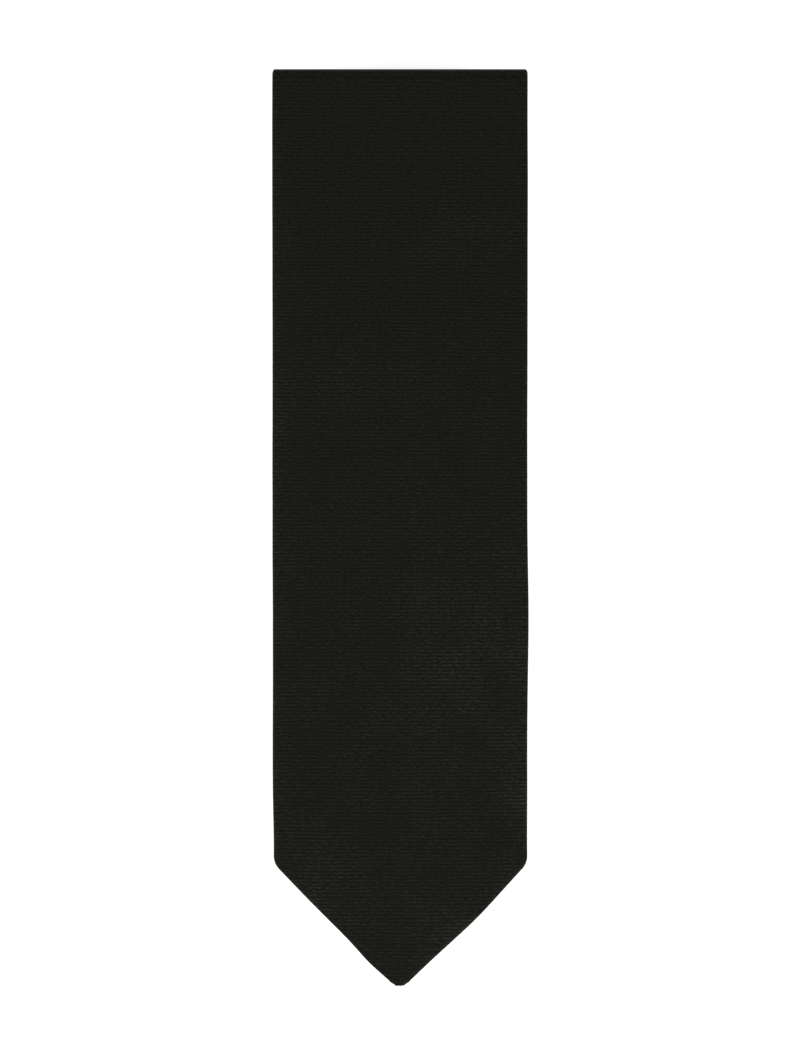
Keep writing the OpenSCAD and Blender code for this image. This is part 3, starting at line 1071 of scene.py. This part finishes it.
def build_back_of_blade():
    loop = keeper_loop()
    finish_piece(loop, "keeper_loop", SHELL, 0)
    finish_piece(keeper_tacks(), "keeper_tacks", THREAD, 0)
    maker = label("maker_label", 0.22 * MM, 0.35 * MM, True)
    finish_piece(maker, "maker_label", LABEL_BLACK, 0)
    care = label("care_label", 0.15 * MM, 0.5 * MM, False)
    finish_piece(care, "care_label", LABEL_WHITE, 0)


build_shell()
build_interlining()
build_linings()
build_stitches()
build_back_of_blade()


# ---------------------------------------------------------------------------------------------
# Floor, lights and camera
# ---------------------------------------------------------------------------------------------
IMAGE_W, IMAGE_H = 800, 1055    # only their ratio is used, the shape of the picture
VIEW_W = 250.3 * MM         # what the picture is wide at the front blade's face
CAMERA_HEIGHT = 1.5
SENSOR = 36.0               # in millimetres, as Blender has it
FLOOR_REACH = 6.0           # from the middle to each side
FLOOR_UNDER = 0.2 * MM      # below the tie, so that the two never share a plane
FLOOR_GLOW = 0.62           # a light table, which keeps the ground white up to the tie's edge


def make_floor():
    m = Shader("floor")
    place = m.object_place()
    grain = m.noise(place, 60, detail=3.0)
    colour = m.ramp(grain, (0.3, (0.86, 0.86, 0.86)), (0.7, (0.9, 0.9, 0.9)))
    m.put(colour, m.bsdf.inputs["Base Color"])
    m.bsdf.inputs["Roughness"].default_value = 0.9
    m.bsdf.inputs["Specular IOR Level"].default_value = 0.1
    m.bsdf.inputs["Emission Color"].default_value = (1, 1, 1, 1)
    m.bsdf.inputs["Emission Strength"].default_value = FLOOR_GLOW
    square = ((-1, -1), (1, -1), (1, 1), (-1, 1))
    corners = [Vector((x * FLOOR_REACH, y * FLOOR_REACH, 0)) for x, y in square]
    floor = new_mesh("floor", corners, [(0, 1, 2, 3)])
    floor.data.materials.append(m.material)
    floor.location.z = -FLOOR_UNDER


def area_light(name, place, size, power, aim=Vector((0, 0, 0))):
    data = bpy.data.lights.new(name, "AREA")
    data.shape = "RECTANGLE"
    data.size, data.size_y = size
    data.energy = power
    light = bpy.data.objects.new(name, data)
    light.location = place
    light.rotation_euler = (aim - Vector(place)).to_track_quat("-Z", "Y").to_euler()
    bpy.context.scene.collection.objects.link(light)


def make_lights():
    world = bpy.data.worlds.new("studio")
    world.use_nodes = True
    world.node_tree.nodes["Background"].inputs["Color"].default_value = (1, 1, 1, 1)
    world.node_tree.nodes["Background"].inputs["Strength"].default_value = 0.5
    bpy.context.scene.world = world
    area_light("key", (0.75, -0.8, 0.8), (0.6, 0.6), 9.5)
    area_light("fill", (-1.4, -0.1, 1.0), (1.0, 1.0), 12)


def make_camera():
    top = LAP_BOXES[0][1].z
    data = bpy.data.cameras.new("camera")
    view_h = VIEW_W * IMAGE_H / IMAGE_W
    data.sensor_width = SENSOR
    data.lens = SENSOR * CAMERA_HEIGHT / view_h
    data.clip_end = 50
    camera = bpy.data.objects.new("camera", data)
    camera.location = (0, 0, top + CAMERA_HEIGHT)
    bpy.context.scene.collection.objects.link(camera)
    bpy.context.scene.camera = camera


make_floor()
make_lights()
make_camera()
bpy.context.scene.view_settings.view_transform = "Standard"
